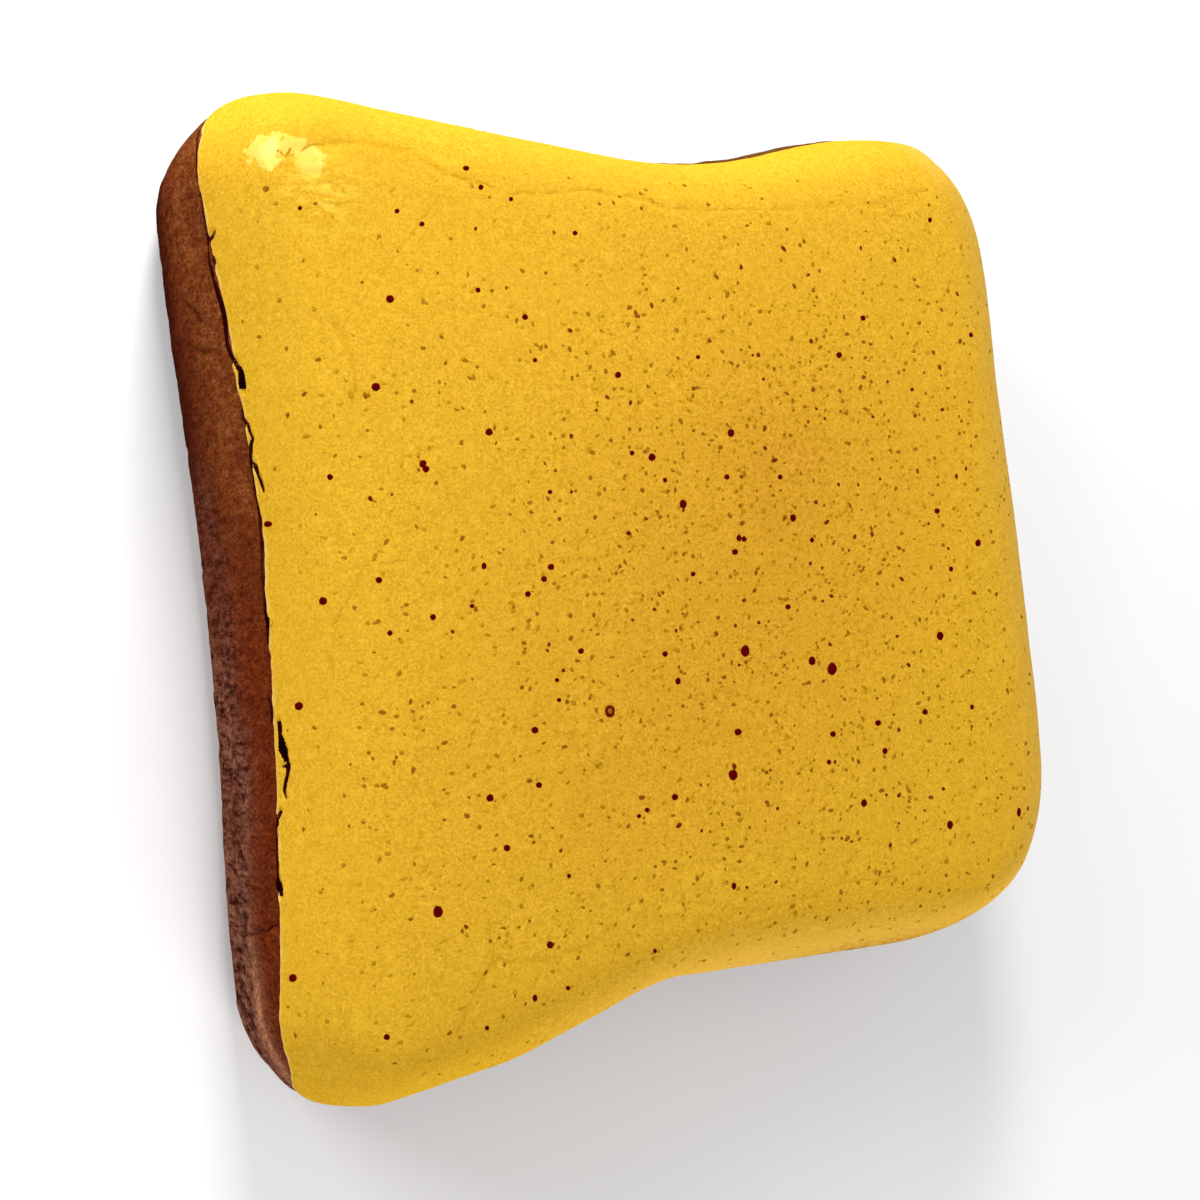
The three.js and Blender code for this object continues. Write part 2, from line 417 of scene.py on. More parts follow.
def softened(points, cells, weight):
    """The grid with each vertex drawn towards its four neighbours, again and again."""
    grid = points.reshape(cells + 1, cells + 1, 3).copy()
    inner_weight = weight.reshape(cells + 1, cells + 1, 1)[1:-1, 1:-1]
    for _ in range(SOFTENING_ROUNDS):
        around = grid[:-2, 1:-1] + grid[2:, 1:-1] + grid[1:-1, :-2] + grid[1:-1, 2:]
        inner = grid[1:-1, 1:-1]
        grid[1:-1, 1:-1] = inner + inner_weight * (around / 4 - inner)
    return grid.reshape(-1, 3)


def cheese_surface(reach, place):
    outline, normal = on_outline(place)
    # Share of the way from the seam up to the shoulder, with the rings closer together at the seam
    steps = way(reach, 1, SHOULDER_SHARE)
    share = 0.4 * steps + 0.6 * steps ** 2
    shoulder = SHOULDER_HEIGHT - WIDEST_HEIGHT
    quarter = np.linspace(math.asin((SEAM_HEIGHT - WIDEST_HEIGHT) / shoulder), math.pi / 2, 400)
    insets = SHOULDER_INSET * (1 - np.cos(quarter))
    heights = WIDEST_HEIGHT + shoulder * np.sin(quarter)
    inset, height = by_length(insets, heights, share)
    wobble = seam_wobble(place) + SEAM_GAP / 2
    lifted = height + wobble * (1 - share) ** 3
    inset = np.where(share < 0.5, inset_at(lifted), inset)
    inset = inset + lip_at(height) - push_at(place, height, SIDE_PUSHES + CHEESE_PUSHES)
    face = np.clip(reach / SHOULDER_SHARE, 0, 1)
    rise = (CROWN_HEIGHT - SHOULDER_HEIGHT) * (1 - face * face) ** 2
    flat = (outline - inset[:, None] * normal) * face[:, None]
    return np.column_stack([flat, np.where(face < 1, SHOULDER_HEIGHT + rise, lifted)])


def bread_points():
    reach, place = square_grid(BREAD_CELLS)
    outline, normal = on_outline(place)
    steps = way(reach, 1, BACK_SHARE)
    share = 0.5 * steps + 0.5 * steps ** 1.6
    heights = np.concatenate([np.linspace(SEAM_HEIGHT, BACK_EDGE_HEIGHT, 300),
                              BACK_EDGE_HEIGHT * (1 - np.sin(np.linspace(0, math.pi / 2, 200)[1:]))])
    inset, height = by_length(inset_at(heights), heights, share)
    wobble = seam_wobble(place) - SEAM_GAP / 2
    lowered = height + wobble * (1 - share) ** 4
    out = swell_at(outline, normal, height) - inset - lip_at(height)
    out = out + push_at(place, height, SIDE_PUSHES + BREAD_PUSHES)
    back = np.clip(reach / BACK_SHARE, 0, 1)
    flat = (outline + out[:, None] * normal) * back[:, None]
    return np.column_stack([flat, lowered]), SEAM_HEIGHT - height


def new_object(name, data):
    made = bpy.data.objects.new(name, data)
    bpy.context.scene.collection.objects.link(made)
    return made


def new_mesh_object(name, vertices, faces, smooth=True):
    mesh = bpy.data.meshes.new(name)
    mesh.from_pydata(vertices, [], faces, shade_flat=not smooth)
    return new_object(name, mesh)


def closed_mesh(name, points, cells, facing_up):
    """A mesh of a square grid, closed off behind a ledge that runs in from its rim."""
    index = np.arange(len(points)).reshape(cells + 1, cells + 1)
    quads = np.stack([index[:-1, :-1], index[:-1, 1:], index[1:, 1:], index[1:, :-1]], axis=-1)
    # The outermost vertices, counterclockwise from the top left
    rim = np.concatenate([index[:0:-1, 0], index[0, :-1], index[:-1, -1], index[-1, :0:-1]])
    middle = points[rim].mean(axis=0)
    inward = middle[:2] - points[rim][:, :2]
    inward /= np.linalg.norm(inward, axis=1)[:, None]
    ledge = points[rim].copy()
    ledge[:, :2] += inward * LEDGE
    middle[2] = ledge[:, 2].mean()
    vertices = np.concatenate([points, ledge, middle[None]]) * MM
    count = len(rim)
    here = len(points) + np.arange(count)
    following = np.roll(here, -1)
    ledge_quads = np.stack([rim, here, following, np.roll(rim, -1)], axis=1)
    fan = np.stack([here, np.full(count, len(points) + count), following], axis=1)
    faces = [*quads.reshape(-1, 4).tolist(), *ledge_quads.tolist(), *fan.tolist()]
    if not facing_up:
        faces = [face[::-1] for face in faces]
    return new_mesh_object(name, vertices.tolist(), faces)


def values_of(piece, name):
    values = np.empty(len(piece.data.vertices) * 3)
    piece.data.vertices.foreach_get(name, values)
    return values.reshape(-1, 3)


def coordinates(piece, count):
    """Places of a piece's first vertices, in mm."""
    return values_of(piece, "co")[:count] / MM


def push_out(piece, amounts):
    """Moves each vertex along its normal by an amount in mm."""
    moved = values_of(piece, "co")
    moved[: len(amounts)] += values_of(piece, "normal")[: len(amounts)] * amounts[:, None] * MM
    piece.data.vertices.foreach_set("co", moved.ravel())
    piece.data.update()


def surface_of(*pieces):
    """One surface for the rays of hit, made of one or more pieces."""
    corners = []
    faces = []
    for piece in pieces:
        first = len(corners)
        corners.extend([vertex.co for vertex in piece.data.vertices])
        faces.extend([tuple(first + corner for corner in face.vertices) for face in piece.data.polygons])
    return BVHTree.FromPolygons(corners, faces)


def distance_to_lines(piece, lines, count):
    """For each of the first vertices: mm to the nearest point of the lines, and that point's strength."""
    points = [point for line in lines for point in line]
    tree = KDTree(len(points))
    for index, (place, _) in enumerate(points):
        tree.insert(place, index)
    tree.balance()
    nearest = [tree.find(vertex.co) for vertex in piece.data.vertices[:count]]
    distances = np.array([distance for _, _, distance in nearest]) / MM
    return distances, np.array([points[index][1] for _, index, _ in nearest])


def store(piece, name, values):
    attribute = piece.data.attributes.new(name, "FLOAT", "POINT")
    padded = np.zeros(len(piece.data.vertices))
    padded[: len(values)] = values
    attribute.data.foreach_set("value", padded)


# ------------------------
# Relief of the two layers

def groove(distance, depth, width):
    return -depth * np.exp(-(distance / width) ** 2)


def ridge(distance, height, away, width):
    return height * np.exp(-((distance - away) / width) ** 2)


def lines_on(surface, drawn, spacing=0.25):
    """Lines of the photograph laid on a surface, as places with a strength that fades to each end."""
    lines = []
    for places, strength in drawn:
        line = drawn_line(surface, places, spacing)
        last = len(line) - 1
        fades = [min(1, 4 * i / last + 0.15, 4 * (last - i) / last + 0.15) for i in range(len(line))]
        lines.append([(entry[0], strength * fade) for entry, fade in zip(line, fades)])
    return lines


def shape_cheese(cheese, above_seam):
    """Pushes the yellow skin about; returns how strongly each vertex lies in a crease, which the colour
    darkens as painted shade.
    """
    count = len(above_seam)
    places = coordinates(cheese, count)
    surface = surface_of(cheese)
    away, strength = distance_to_lines(cheese, lines_on(surface, CREASES), count)
    near, sharpness = distance_to_lines(cheese, lines_on(surface, WRINKLES, 0.15), count)
    fold, depth = distance_to_lines(cheese, lines_on(surface, FOLDS), count)
    crease = strength * np.exp(-(away / (0.28 + 0.10 * waves(places, 2.5, 21, 2))) ** 2)
    amounts = 0.15 * waves(places, 19, 11, 2)
    amounts += 0.030 * waves(places, 4.5, 12, 3)
    amounts += 0.010 * waves(places, 1.2, 13, 2)
    amounts += strength * ridge(away, 0.03, 0.8, 0.4) - 0.07 * crease
    amounts += sharpness * (groove(near, 0.07, 0.24) + ridge(near, 0.05, 0.62, 0.3))
    amounts += depth * groove(fold, 0.26, 1.5)
    amounts += 0.05 * np.exp(-above_seam / 1.1) * waves(places, 2.2, 14, 3)
    push_out(cheese, amounts)
    return crease


def shape_bread(bread, below_seam):
    """Pushes the brown skin about; returns how strongly each vertex lies in a wrinkle, and in the pits, both
    darkened in the colour as painted shade.
    """
    count = len(below_seam)
    places = coordinates(bread, count)
    away, strength = distance_to_lines(bread, lines_on(surface_of(bread), BREAD_WRINKLES), count)
    pits = way(below_seam, 5.5, 7.5) * np.clip(waves(places * (1, 1, 0.33), 0.7, 34, 3) - 0.10, 0, 1)
    amounts = 0.16 * waves(places, 11, 31, 2)
    amounts += 0.07 * waves(places, 3.2, 32, 3)
    amounts += 0.03 * waves(places, 0.9, 33, 2) - 0.26 * pits
    amounts += strength * (groove(away, 0.24, 0.28) + ridge(away, 0.16, 0.7, 0.35))
    push_out(bread, amounts * way(places[:, 2], 0.02, 2.02))
    return strength * np.exp(-(away / 0.35) ** 2), pits


def tear_open(piece, lines, count):
    """Sinks the surface along the tears and lifts its lips; returns how near each vertex is to one, for the
    painted shade beside them.
    """
    near, half_width = distance_to_lines(piece, lines, count)
    push_out(piece, groove(near, 0.22, half_width + 0.12) + ridge(near, 0.09, half_width + 0.45, 0.28))
    return np.exp(-(near / (half_width + 0.25)) ** 2)


# ------------------------
# Small things on the surface, gathered so that each kind is one mesh

PIXELS_PER_MM = 11.3  # near the seam on the left


class Gathered:
    """Vertices and faces of many small closed shapes, with one value for each vertex."""

    def __init__(self):
        self.vertices = []
        self.faces = []
        self.values = []

    def add(self, vertices, faces, values):
        first = len(self.vertices)
        self.vertices.extend(vertices)
        self.faces.extend([tuple(first + corner for corner in face) for face in faces])
        self.values.extend(values)

    def piece(self, name, smooth=True):
        made = new_mesh_object(name, self.vertices, self.faces, smooth)
        store(made, "tint", self.values)
        return made


def dome(centre, normal, across, along, height, sides, uneven, draw, shoulder=0.72):
    """A low closed dome: two rings and a point above the surface, and a point under it."""
    rims = [1 + uneven * draw.uniform(-1, 1) for _ in range(sides)]
    vertices = []
    for reach, lift in ((1, -0.25), (shoulder, 0.72)):
        for i in range(sides):
            turn = 2 * math.pi * i / sides
            out = across * math.cos(turn) + along * math.sin(turn)
            vertices.append(centre + out * (reach * rims[i]) + normal * (height * lift))
    vertices.append(centre + normal * height)
    vertices.append(centre - normal * (height * 0.5))
    top = 2 * sides
    faces = []
    for i in range(sides):
        j = (i + 1) % sides
        faces.append((i, j, sides + j, sides + i))
        faces.append((sides + i, sides + j, top))
        faces.append((j, i, top + 1))
    return vertices, faces


def dome_values(sides, rim, core):
    """One value for each vertex of a dome: those of its outer ring, and the others."""
    return [rim] * sides + [core] * (sides + 2)


def facing_out(normal, across, along):
    """Swaps the two axes where they would turn a dome inside out."""
    if across.cross(along).dot(normal) < 0:
        return along, across
    return across, along


def drop_at(surface, x, y, width, height):
    """Centre, normal and half axes of a drop seen at a pixel of the photograph."""
    centre, normal = hit(surface, x, y)
    across, _ = hit(surface, x + DROP_SPREAD * width / 2, y)
    along, _ = hit(surface, x, y - DROP_SPREAD * height / 2)
    return centre, normal, *facing_out(normal, across - centre, along - centre)


def speck_density(x, y):
    """Share of the densest speckling, at a place on the toy in mm."""
    cluster = 38 * math.exp(-((x - 8) / 25.5) ** 2 - ((y - 5) / 31) ** 2)
    edge = max(abs(x + 0.5) / 45, abs(y) / 47)
    fade = way(edge, 1, 0.75)
    bare_corner = 0.75 * math.exp(-((x + 30) / 17) ** 2 - ((y - 32) / 17) ** 2)
    bare_top = 0.8 * way(y, 24, 40)
    return (18 * (0.15 + 0.85 * fade) + cluster * fade) / 56 * (1 - bare_corner) * (1 - bare_top)


def scattered_place(surface, draw, crowding):
    """A random place on the yellow skin, more likely where the photograph has more specks."""
    while True:
        x = draw.uniform(-45, 45)
        y = draw.uniform(-48, 48)
        if draw.random() > speck_density(x, y) ** crowding:
            continue
        place, normal, _, _ = surface.ray_cast(Vector((x, y, 60)) * MM, Vector((0, 0, -1)))
        if place is not None and place.z > 18.6 * MM:
            return place, normal


def random_speck(surface, draw, crowding, radii, longest, height, sides, uneven, shoulder):
    """A speck at a random place on the yellow skin, as the vertices and faces of a dome."""
    centre, normal = scattered_place(surface, draw, crowding)
    radius = draw.uniform(*radii) * MM
    stretch = draw.uniform(1, longest)
    side = Matrix.Rotation(draw.uniform(0, 2 * math.pi), 3, normal) @ normal.orthogonal().normalized()
    across, along = facing_out(normal, side * radius * stretch, normal.cross(side) * radius)
    return dome(centre, normal, across, along, height * MM, sides, uneven, draw, shoulder)


DROP_SPREAD = 1.1  # a dome shows a little smaller than its rim
FAINT_SPECKS = 2700
DARK_SPECKS = 170


def drops_piece(surface):
    draw = random.Random(71)
    gathered = Gathered()
    for x, y, *size in DROPS:
        centre, normal, across, along = drop_at(surface, x, y, size[0], size[-1])
        thickness = 0.09 * across.length + 0.02 * MM
        shape = dome(centre, normal, across, along, thickness, 18, 0.08, draw)
        gathered.add(*shape, dome_values(18, 0.45, 0.85 + 0.15 * draw.random()))
    for _ in range(DARK_SPECKS):
        shape = random_speck(surface, draw, 2, (0.17, 0.28), 1.6, 0.035, 10, 0.18, 0.62)
        gathered.add(*shape, dome_values(10, 0.2, draw.uniform(0.3, 0.75)))
    return gathered.piece("drops")


def ring_drop_piece(surface):
    """The drop that dried to a ring."""
    draw = random.Random(72)
    gathered = Gathered()
    centre, normal, across, along = drop_at(surface, *RING_DROP)
    shape = dome(centre, normal, across, along, 0.05 * MM, 20, 0.06, draw)
    gathered.add(*shape, dome_values(20, 0.45, 0.8))
    inner = dome(centre + normal * 0.03 * MM, normal, across * 0.5, along * 0.5, 0.04 * MM, 14, 0.1, draw)
    gathered.add(*inner, dome_values(14, 0.3, 0.3))
    return gathered.piece("ring_drop")


def faint_specks_piece(surface):
    draw = random.Random(73)
    gathered = Gathered()
    for _ in range(FAINT_SPECKS):
        shape = random_speck(surface, draw, 1, (0.14, 0.26), 1.7, 0.016, 7, 0.34, 0.6)
        core = 0.1 + 0.85 * draw.random() ** 1.3
        gathered.add(*shape, dome_values(7, 0.4 * core, core))
    return gathered.piece("faint_specks")


def ribbon(surface, entries, draw, lift=0.035, sink=0.12):
    """A thin closed strip on a surface, under a run of pixels with a width at each; and its widths."""
    line = drawn_line(surface, entries, 0.12)
    pixels = np.array([entry[2:5] for entry in line])
    ahead = np.gradient(pixels[:, :2], axis=0)
    ahead /= np.hypot(*ahead.T)[:, None]
    vertices = []
    for (place, normal, x, y, width), (dx, dy) in zip(line, ahead):
        row = []
        for side in (-1, 0, 1):
            ragged = width / 2 * (1 + 0.22 * draw.uniform(-1, 1)) * side
            spot, _ = hit(surface, x - dy * ragged, y + dx * ragged)
            row.append(spot if spot is not None else place)
        vertices.extend([spot + normal * (lift * MM) for spot in row])
        vertices.extend([row[2] - normal * (sink * MM), row[0] - normal * (sink * MM)])
    faces = []
    for i in range(len(line) - 1):
        here = 5 * i
        for k in range(5):
            following = (k + 1) % 5
            faces.append((here + k, here + following, here + 5 + following, here + 5 + k))
    last = 5 * (len(line) - 1)
    faces.append((0, 4, 3, 2, 1))
    faces.append(tuple(range(last, last + 5)))
    return vertices, faces, [entry[4] for entry in line]


def wandering(places, draw):
    """A run of pixels as short steps that stray a little, with an uneven width at each."""
    places = np.array(places, dtype=float)
    along = lengths_along(places)
    steps = read_at(np.arange(0, along[-1], 5), along, places)
    return [(x + draw.gauss(0, 0.9), y + draw.gauss(0, 0.9), draw.uniform(1, 2.8)) for x, y in steps]


def crease_lines_piece(surface):
    """Thin lines of painted shade along the creases, broken here and there."""
    draw = random.Random(76)
    gathered = Gathered()
    for places, strength in CREASES + WRINKLES[:1]:
        steps = wandering(places, draw)
        first = 0
        while first < len(steps) - 3:
            length = draw.randint(3, 7)
            part = [(x, y, width * (0.5 + 0.5 * strength)) for x, y, width in steps[first:first + length]]
            if len(part) > 2:
                vertices, faces, _ = ribbon(surface, part, draw, lift=0.012, sink=0.05)
                gathered.add(vertices, faces, [strength * draw.uniform(0.1, 0.9)] * len(vertices))
            first += length + draw.randint(0, 3)
    return gathered.piece("crease_lines", smooth=False)


def tears_piece(name, surface, runs, seed):
    draw = random.Random(seed)
    gathered = Gathered()
    for entries in runs:
        vertices, faces, widths = ribbon(surface, entries, draw)
        gathered.add(vertices, faces, np.repeat(way(np.array(widths), 0, 7), 5).tolist())
    return gathered.piece(name, smooth=False)


# ------------------------
# Materials

def from_screen(red, green, blue):
    """Linear colour from the 0 to 255 values that a screen shows."""
    linear = []
    for value in (red, green, blue):
        share = value / 255
        linear.append(share / 12.92 if share <= 0.04045 else ((share + 0.055) / 1.055) ** 2.4)
    return (*linear, 1)


class Coat:
    """A node material, with a colour called skin that further colours are laid over one by one."""

    def __init__(self, name):
        self.material = bpy.data.materials.new(name)
        self.material.use_nodes = True
        self.tree = self.material.node_tree
        self.shader = self.tree.nodes["Principled BSDF"]
        self.coordinates = self.add("TexCoord").outputs["Object"]

    def put(self, socket, value):
        """Links an output to a socket, or sets a plain value on it."""
        if isinstance(value, bpy.types.NodeSocket):
            self.tree.links.new(value, socket)
        else:
            socket.default_value = value

    def add(self, kind, **values):
        """A new node with these inputs; an underscore in a name stands for a space."""
        node = self.tree.nodes.new("ShaderNode" + kind)
        for name, value in values.items():
            self.put(node.inputs[name.replace("_", " ")], value)
        return node

    def noise(self, size, detail=3.0, roughness=0.55, longer=(1, 1, 1)):
        """Noise with features about size mm across, and as many times longer along each axis as given."""
        stretched = self.add("Mapping", Vector=self.coordinates, Scale=[1 / times for times in longer])
        texture = self.add("TexNoise", Vector=stretched.outputs["Vector"], Scale=1 / (size * MM),
                           Detail=detail, Roughness=roughness)
        return texture.outputs["Fac"]

    def attribute(self, name):
        reader = self.add("Attribute")
        reader.attribute_name = name
        return reader.outputs["Fac"]

    def ramp(self, value, *stops):
        """Colours along a value: each stop is a position and a colour as a screen shows it."""
        node = self.add("ValToRGB", Fac=value)
        elements = node.color_ramp.elements
        while len(elements) < len(stops):
            elements.new(0.5)
        for element, (position, *colour) in zip(elements, stops):
            element.position = position
            element.color = from_screen(*colour)
        return node.outputs["Color"]

    def levels(self, value, low, high, to_low, to_high):
        """A value stretched from one range to another, and held inside it."""
        node = self.add("MapRange", Value=value, From_Min=low, From_Max=high, To_Min=to_low, To_Max=to_high)
        return node.outputs["Result"]

    def mottle(self, size, low, high, to_low, to_high, *more):
        """Noise of a size in mm, stretched from one range to another; more is what noise takes besides."""
        return self.levels(self.noise(size, *more), low, high, to_low, to_high)

    def product(self, first, second):
        node = self.add("Math")
        node.operation = "MULTIPLY"
        self.put(node.inputs[0], first)
        self.put(node.inputs[1], second)
        return node.outputs["Value"]

    def blend(self, share, below, above, how="MIX"):
        """Two colours mixed by a share."""
        node = self.add("Mix")
        node.data_type = "RGBA"
        node.blend_type = how
        for index, value in ((0, share), (6, below), (7, above)):
            self.put(node.inputs[index], value)
        return node.outputs[2]

    def cover(self, share, red, green, blue):
        """Lays a colour, as a screen shows it, over the skin to a share."""
        self.skin = self.blend(share, self.skin, from_screen(red, green, blue))

    def shade(self, share, red, green, blue):
        """Multiplies the skin's colour to a share."""
        self.skin = self.blend(share, self.skin, (red, green, blue, 1), "MULTIPLY")

    def bumps(self, *layers):
        """Fine bumps: each layer is a height output and its depth in mm."""
        below = None
        for height, depth in layers:
            node = self.add("Bump", Strength=1, Distance=depth * MM, Height=height)
            if below is not None:
                self.put(node.inputs["Normal"], below)
            below = node.outputs["Normal"]
        self.put(self.shader.inputs["Normal"], below)

    def done(self, roughness, specular=0):
        """Sets what is left of the shader, and returns the material."""
        settings = {"Base Color": self.skin, "Roughness": roughness, "Specular IOR Level": specular}
        for name, value in settings.items():
            self.put(self.shader.inputs[name], value)
        return self.material


def cheese_coat():
    coat = Coat("cheese_skin")
    haze = coat.attribute("haze")
    crumple_and_glints = coat.attribute("crumple_and_glints")
    grain = coat.noise(0.24, 3, 0.6)
    coat.skin = coat.ramp(grain, (0.32, 192, 144, 30), (0.50, 214, 165, 40), (0.68, 232, 184, 52))
    coat.cover(coat.mottle(0.75, 0.44, 0.64, 0, 0.42, 4, 0.75), 198, 150, 28)
    coat.cover(coat.mottle(1.1, 0.52, 0.66, 0, 0.4, 3, 0.6), 230, 182, 50)
    smudges = coat.mottle(0.45, 0.56, 0.67, 0, 0.6, 2, 0.5)
    coat.cover(coat.product(smudges, coat.levels(haze, 0, 0.8, 0.5, 1)), 172, 122, 18)
    coat.cover(coat.mottle(12, 0.4, 0.7, 0, 0.3), 206, 157, 38)
    coat.shade(haze, 0.89, 0.79, 0.95)
    # Painted sheen: paler over the right and bottom rims
    coat.cover(coat.attribute("rim_sheen"), 236, 196, 110)
    browned = coat.mottle(0.6, 0.4, 0.6, 0.3, 1.2)
    coat.cover(coat.product(coat.attribute("browned_rim"), browned), 120, 62, 26)
    fringe = coat.levels(coat.attribute("above_seam"), 0.1, 0.65, 0.95, 0)
    coat.cover(coat.product(fringe, coat.mottle(0.9, 0.38, 0.6, 0.2, 1)), 232, 190, 112)
    # Painted shade: darker along the creases
    crease = coat.levels(coat.attribute("crease"), 0.15, 0.9, 0, 0.5)
    coat.cover(coat.product(crease, coat.mottle(1.5, 0.35, 0.6, 0.3, 1)), 182, 128, 16)
    # Painted shade: browner next to the tears
    coat.cover(coat.levels(coat.attribute("tear_shade"), 0.45, 1, 0, 0.5), 150, 84, 30)
    gloss_and_highlight = coat.product(coat.attribute("gloss_and_highlight"), coat.mottle(1.0, 0.36, 0.64, 0.6, 1.35, 4, 0.7))
    # Painted highlight: the glossy patches are painted a paler yellow
    coat.cover(coat.levels(gloss_and_highlight, 0.46, 0.58, 0, 0.8), 224, 204, 92)
    # Painted glint: streaky pale yellow in the crumpled patch
    glint_streaks = coat.mottle(0.8, 0.48, 0.57, 0, 0.7, 3, 0.6, (2.4, 1, 1))
    coat.cover(coat.product(glint_streaks, crumple_and_glints), 228, 196, 70)
    crumpled = coat.product(coat.noise(0.9, 3, 0.6, (2.4, 1, 1)), crumple_and_glints)
    coat.bumps((coat.noise(0.9, 3), 0.014), (coat.noise(0.28, 2), 0.010), (crumpled, 0.12))
    coat.shader.inputs["Specular Tint"].default_value = (1, 0.97, 0.25, 1)
    uneven = coat.mottle(1.6, 0.3, 0.7, 0.34, 0.44)
    roughness = coat.product(uneven, coat.levels(gloss_and_highlight, 0.1, 0.5, 1, 0.4))
    return coat.done(roughness, coat.levels(gloss_and_highlight, 0.5, 0.75, 0, 0.8))


def bread_coat():
    coat = Coat("bread_skin")
    low_down = coat.attribute("low_down")
    below_seam = coat.attribute("below_seam")
    cloudy = coat.noise(0.8, 4, 0.65, (1, 1, 2))
    warm = coat.ramp(cloudy, (0.30, 94, 40, 13), (0.52, 119, 61, 27), (0.72, 138, 82, 46))
    lower_warm = coat.ramp(cloudy, (0.30, 80, 26, 9), (0.52, 100, 40, 15), (0.72, 118, 54, 26))
    warm = coat.blend(coat.levels(low_down, 0, 0.6, 0, 1), warm, lower_warm)
    # The outer band is darker: partly its own darker grain, partly painted shade where the side rolls under
    dark = coat.ramp(cloudy, (0.34, 60, 20, 10), (0.50, 78, 28, 13), (0.70, 92, 38, 20))
    streaky = coat.noise(0.7, 4, 0.7, (1, 1, 3))
    greyish = coat.ramp(streaky, (0.38, 52, 19, 13), (0.47, 110, 64, 48), (0.68, 148, 98, 79))
    # Painted highlight: a pale streak along the bottom left corner
    highlight_streak = coat.ramp(coat.noise(0.6, 4, 0.7), (0.35, 138, 84, 58), (0.65, 182, 128, 94))
    greyish = coat.blend(coat.attribute("highlight_streak"), greyish, highlight_streak)
    greyish = coat.blend(coat.levels(low_down, 0.3, 0.95, 0.5, 0), greyish, dark)
    pitted_half = coat.levels(low_down, 0, 0.4, 0, 1)
    outer = coat.blend(pitted_half, dark, greyish)
    sharp_edge = coat.product(coat.levels(below_seam, 5.6, 6.6, 0, 1), pitted_half)
    coat.skin = coat.blend(coat.levels(below_seam, 2.5, 9, 0, 0.9), warm, outer)
    coat.skin = coat.blend(sharp_edge, coat.skin, greyish)
    # Painted shade: near-black in the pits of the lower half
    pit_shade = coat.levels(coat.attribute("pit_shade"), 0.02, 0.3, 0, 0.7)
    coat.cover(coat.product(pit_shade, pitted_half), 36, 10, 7)
    # Painted shade: near-black along the upper outer edge, where the side rolls under
    coat.cover(coat.attribute("rolled_under_shade"), 40, 8, 7)
    # Painted shade: a darker olive brown on the top side
    coat.cover(coat.attribute("top_side_shade"), 98, 64, 28)
    coat.cover(coat.mottle(6, 0.45, 0.65, 0, 0.4), 84, 34, 16)
    grain = coat.noise(0.26, 3, 0.7, (1, 1, 2))
    coat.shade(coat.levels(grain, 0.50, 0.60, 0, 0.8), 0.50, 0.42, 0.40)
    coat.shade(coat.levels(grain, 0.38, 0.48, 0.8, 0), 1.35, 1.35, 1.4)
    # Painted shade: darker in the wrinkles
    coat.cover(coat.levels(coat.attribute("wrinkle_shade"), 0.3, 1, 0, 0.8), 44, 14, 8)
    # Painted shade: darker next to the tears
    coat.cover(coat.levels(coat.attribute("tear_shade"), 0.45, 1, 0, 0.6), 60, 16, 8)
    coat.bumps((coat.noise(0.8, 4), 0.08), (coat.noise(0.26, 3, 0.7), 0.03))
    return coat.done(coat.mottle(1.3, 0.3, 0.7, 0.5, 0.65))


def stain_and_shade_coat(name, stops, mottle, over, roughness):
    """A colour that follows each shape's tint, mottled with another colour, and a range of roughness: for
    the paint stains, and for painted shade.
    """
    coat = Coat(name)
    coat.skin = coat.ramp(coat.attribute("tint"), *stops)
    coat.cover(coat.mottle(*mottle), *over)
    return coat.done(coat.mottle(0.5, 0.3, 0.7, *roughness, 2))


def drop_coat():
    stops = [(0, 196, 144, 24), (0.3, 164, 104, 20), (0.6, 120, 50, 14), (0.85, 92, 4, 6), (1, 84, 0, 6)]
    return stain_and_shade_coat("drop_paint", stops, (0.35, 0.35, 0.7, 0, 0.4), (62, 0, 3), (0.35, 0.5))


def speck_coat():
    stops = [(0, 206, 157, 34), (0.35, 178, 130, 20), (0.7, 146, 98, 15), (1, 112, 62, 12)]
    return stain_and_shade_coat("speck_stain", stops, (0.3, 0.35, 0.7, 0, 0.3, 2), (186, 138, 26), (0.45, 0.55))


def crease_shade_coat():
    # Painted shade of the creases, as thin darker strips
    stops = [(0, 208, 158, 36), (1, 176, 126, 22)]
    return stain_and_shade_coat("crease_shade", stops, (0.6, 0.4, 0.65, 0, 0.6, 2), (208, 158, 36), (0.45, 0.55))


def tear_coat():
    # Painted shade: the near-black of the tears' open depth
    stops = [(0.1, 84, 26, 16), (0.5, 50, 8, 8), (0.85, 18, 2, 3)]
    return stain_and_shade_coat("tear_depth_shade", stops, (0.5, 0.4, 0.6, 0, 0.6), (30, 3, 4), (0.7, 0.9))


def floor_coat():
    coat = Coat("pale_floor")
    coat.skin = coat.ramp(coat.noise(60, 2), (0.3, 247, 247, 247), (0.7, 249.3, 249.3, 249.3))
    return coat.done(coat.mottle(40, 0.3, 0.7, 0.7, 0.8, 2), 0.5)


# ------------------------
# The toy

# Darker, more orange tinges of the face: centre, reach and strength of each
HAZES = [((9, 9), 8, 0.35), ((9, 9), 24, 0.6), ((-8, -12), 24, 0.45)]
# The glossy patches of the skin, also painted paler there as a painted highlight, and the crumpled patch
# beside them, with streaky painted glints: centre and reach
GLOSS_AND_HIGHLIGHTS = [((-40.1, 39.8), 2), ((-38.8, 40.1), 1.2), ((-37.6, 39.9), 1), ((-37, 38.6), 1.8)]
CRUMPLE_AND_GLINTS = ((-36.2, 36), 3)

# The greyish lower part of the brown side rises to the seam at the bottom left corner, and a painted
# highlight, a pale streak, runs along its edge there, at a height below the seam
GREY_RISE = 8
STREAK_HEIGHT = 6.4
STREAK_WIDTH = 2.9


